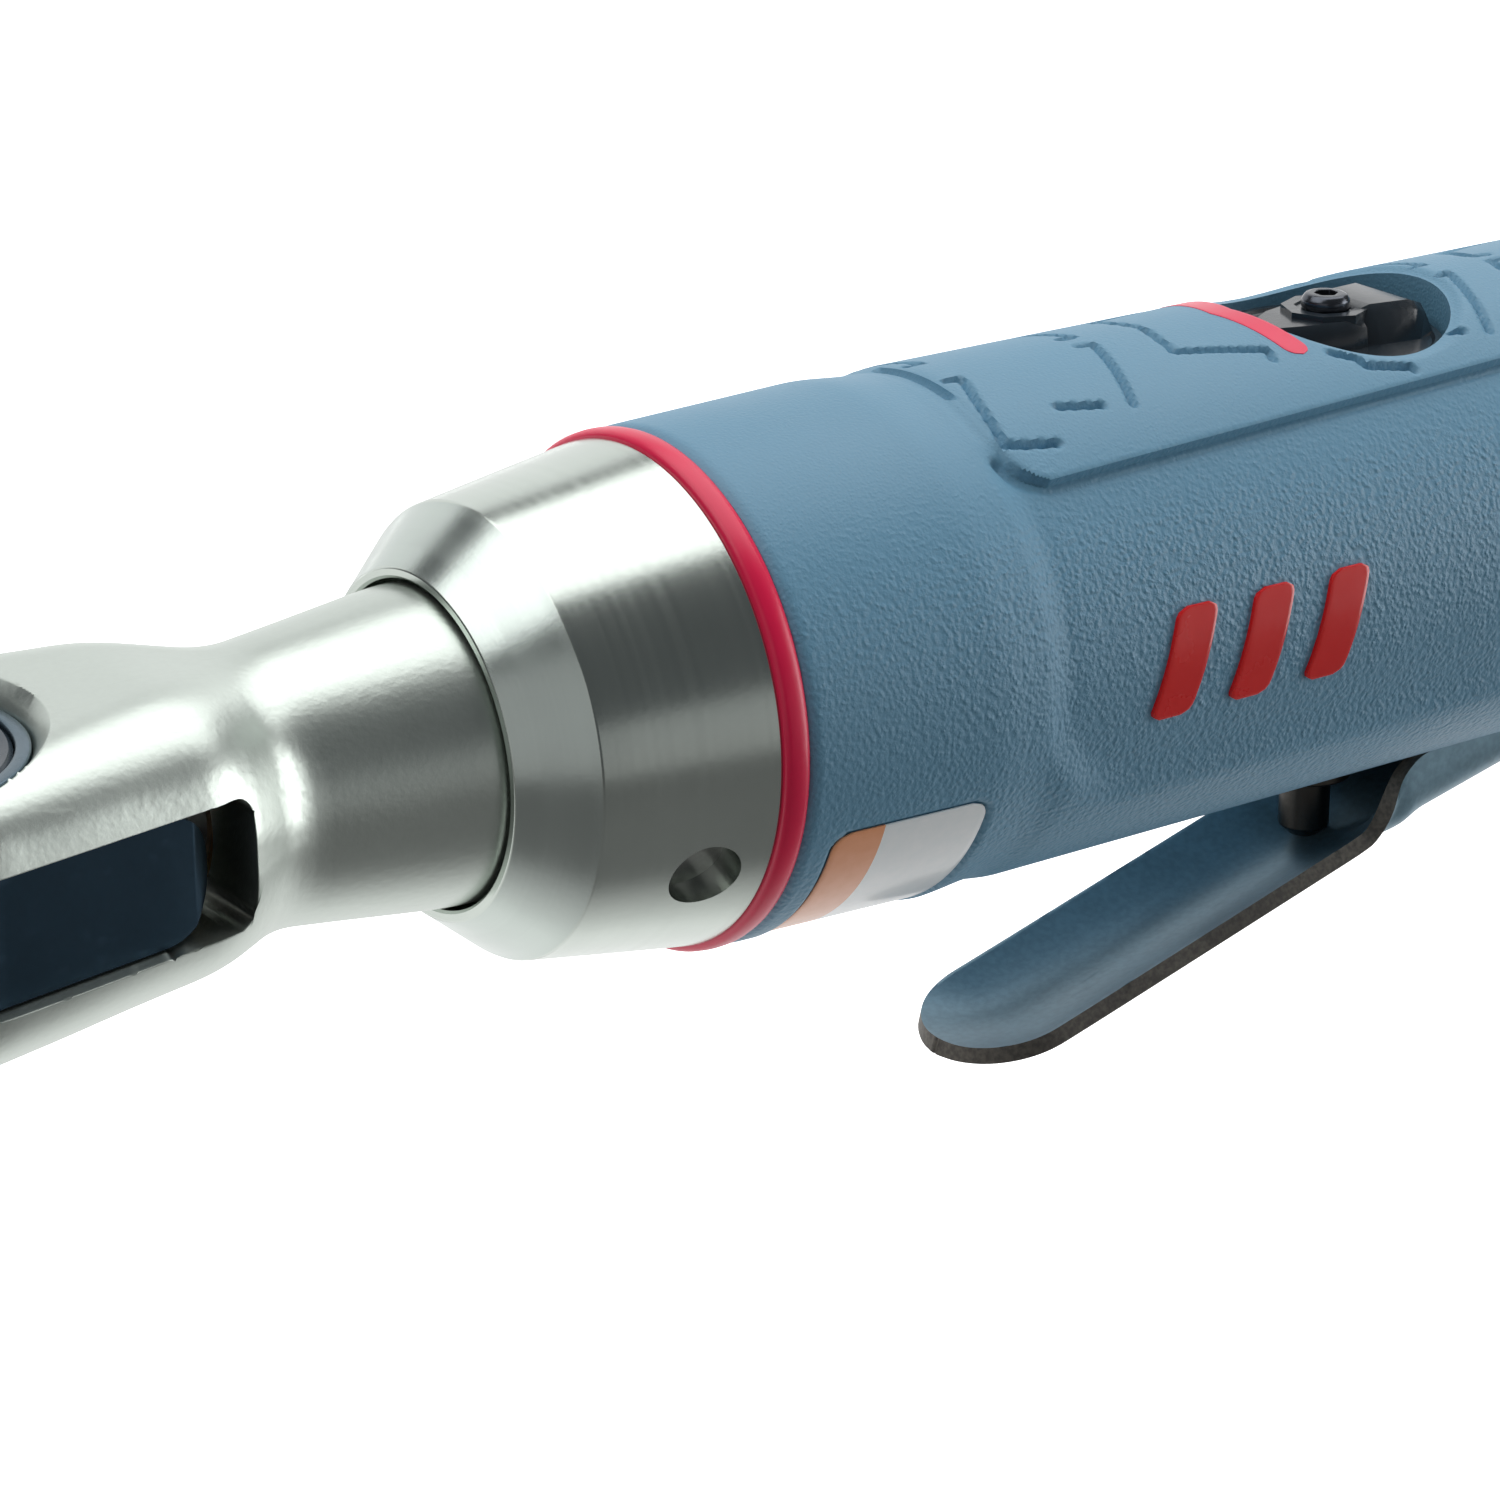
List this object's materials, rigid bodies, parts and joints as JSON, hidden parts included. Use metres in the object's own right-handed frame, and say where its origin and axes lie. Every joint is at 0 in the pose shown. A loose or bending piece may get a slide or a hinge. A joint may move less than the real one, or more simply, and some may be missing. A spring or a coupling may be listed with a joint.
{
  "type": "air ratchet",
  "caption": "Straight pneumatic ratchet wrench with a forked head, square drive, coupling nut, textured grip, throttle lever, power regulator and threaded air inlet.",
  "frame": {"origin": "centre of the drive square's shoulder, on the anvil's axis", "axes": "+X from the drive to the air inlet, +Z from the drive square up to the reverse knob, +Y to the tool's left side seen from the inlet"},
  "size_m": [0.2609, 0.0474, 0.0712],
  "materials": {
    "steel": "ground steel",
    "satin_nickel": "satin nickel plate",
    "turned_nickel": "turned satin nickel",
    "bronze": "sintered bronze",
    "black_oxide": "blue-black oxide",
    "red_plastic": "glossy crimson",
    "grip_composite": "fine pebble texture",
    "label_film": "printed film, no text",
    "black_plastic": "glossy black",
    "vane_phenolic": "fabric phenolic",
    "seal_rubber": "nitrile",
    "silencer_felt": "pressed felt",
    "cast_plate": "ground cast iron"
  },
  "bodies": {
    "frame": {"ratchet_head": "satin_nickel", "neck_bush": "bronze", "lower_thrust_washer": "bronze", "upper_thrust_washer": "bronze", "cover_plate": "black_oxide", "retaining_ring": "black_oxide", "ring_gear": "steel", "carrier_washer": "bronze", "gear_washer": "bronze", "coupling_nut": "turned_nickel", "red_ring": "red_plastic", "threaded_collar": "steel", "front_end_plate": "cast_plate", "front_bearing_outer": "steel", "motor_cylinder": "cast_plate", "motor_dowel": "steel", "rear_end_plate": "cast_plate", "rear_bearing_outer": "steel", "grip_housing": "grip_composite", "label": "label_film", "red_stripe": "red_plastic", "side_bars": "red_plastic", "valve_seat": "bronze", "valve_bushing": "steel", "plunger_seal": "seal_rubber", "lever_pin": "steel", "inlet_bushing": "steel", "inlet_screen": "bronze", "inlet_seal": "seal_rubber", "exhaust_deflector": "black_plastic", "exhaust_silencer": "silencer_felt"},
    "anvil": {"anvil": "steel", "socket_ball_spring": "steel", "pawl_pin": "steel"},
    "socket_ball": {"socket_ball": "steel"},
    "pawl": {"pawl": "black_oxide"},
    "reverse_knob": {"pawl_plunger": "steel", "pawl_spring": "steel", "reverse_knob": "black_oxide"},
    "yoke": {"ratchet_yoke": "black_oxide"},
    "crank": {"crankshaft": "steel", "crank_bushing": "bronze", "planet_pins": "steel"},
    "planet_1": {"planet_gear_1": "steel"},
    "planet_2": {"planet_gear_2": "steel"},
    "planet_3": {"planet_gear_3": "steel"},
    "rotor": {"front_bearing_inner": "steel", "front_bearing_balls": "steel", "rotor": "steel", "rotor_vanes": "vane_phenolic", "rear_bearing_inner": "steel", "rear_bearing_balls": "steel"},
    "plunger": {"throttle_plunger": "steel", "valve_spring": "steel"},
    "regulator": {"regulator_sleeve": "steel", "regulator_seal": "seal_rubber", "regulator_knob": "black_plastic", "regulator_screw": "black_oxide"},
    "lever": {"throttle_lever": "black_oxide"}
  },
  "joints": [
    {"name": "rotor_spin", "type": "hinge", "parent": "frame", "child": "rotor", "pos_m": [0.1, 0, 0.014], "axis": [1, 0, 0], "continuous": true},
    {"name": "crank_spin", "type": "hinge", "parent": "frame", "child": "crank", "pos_m": [0.05, 0, 0.014], "axis": [1, 0, 0], "continuous": true},
    {"name": "planet_1_spin", "type": "hinge", "parent": "crank", "child": "planet_1", "pos_m": [0.068, 0, 0.0044], "axis": [1, 0, 0], "continuous": true},
    {"name": "planet_2_spin", "type": "hinge", "parent": "crank", "child": "planet_2", "pos_m": [0.068, 0.00831, 0.0188], "axis": [1, 0, 0], "continuous": true},
    {"name": "planet_3_spin", "type": "hinge", "parent": "crank", "child": "planet_3", "pos_m": [0.068, -0.00831, 0.0188], "axis": [1, 0, 0], "continuous": true},
    {"name": "anvil_spin", "type": "hinge", "parent": "frame", "child": "anvil", "pos_m": [0, 0, 0.014], "axis": [0, 0, 1], "continuous": true},
    {"name": "yoke_rock", "type": "hinge", "parent": "frame", "child": "yoke", "pos_m": [0, 0, 0.014], "axis": [0, 0, 1], "range_deg": [-5.1, 5.1]},
    {"name": "reverse_turn", "type": "hinge", "parent": "anvil", "child": "reverse_knob", "pos_m": [0, 0, 0.014], "axis": [0, 0, 1], "range_deg": [-30, 30]},
    {"name": "pawl_rock", "type": "hinge", "parent": "anvil", "child": "pawl", "pos_m": [-0.0076, 0, 0.014], "axis": [0, 0, 1], "range_deg": [-3.01, 3.01]},
    {"name": "ball_press", "type": "slide", "parent": "anvil", "child": "socket_ball", "axis": [-1, 0, 0], "range_m": [0, 0.0005], "stiffness_N_per_m": 300},
    {"name": "lever_press", "type": "hinge", "parent": "frame", "child": "lever", "pos_m": [0.199, 0, -0.003], "axis": [0, 1, 0], "range_deg": [0, 4.8], "stiffness_Nm_per_rad": 1.2, "springref_deg": -5.73},
    {"name": "plunger_lift", "type": "slide", "parent": "frame", "child": "plunger", "axis": [0, 0, 1], "range_m": [0, 0.0043], "deforming": ["valve_spring"]},
    {"name": "regulator_turn", "type": "hinge", "parent": "frame", "child": "regulator", "pos_m": [0.1537, 0, 0.03], "axis": [0, 0, 1], "range_deg": [-45, 45]}
  ],
  "couplings": [
    {"joint": "crank_spin", "follows": "rotor_spin", "ratio": 0.25},
    {"joint": "planet_1_spin", "follows": "rotor_spin", "ratio": -0.75},
    {"joint": "planet_2_spin", "follows": "rotor_spin", "ratio": -0.75},
    {"joint": "planet_3_spin", "follows": "rotor_spin", "ratio": -0.75},
    {"joint": "anvil_spin", "follows": "rotor_spin", "ratio": 0.0069444},
    {"joint": "pawl_rock", "follows": "reverse_turn", "ratio": 0.1},
    {"joint": "plunger_lift", "follows": "lever_press", "m_per_rad": 0.051}
  ]
}
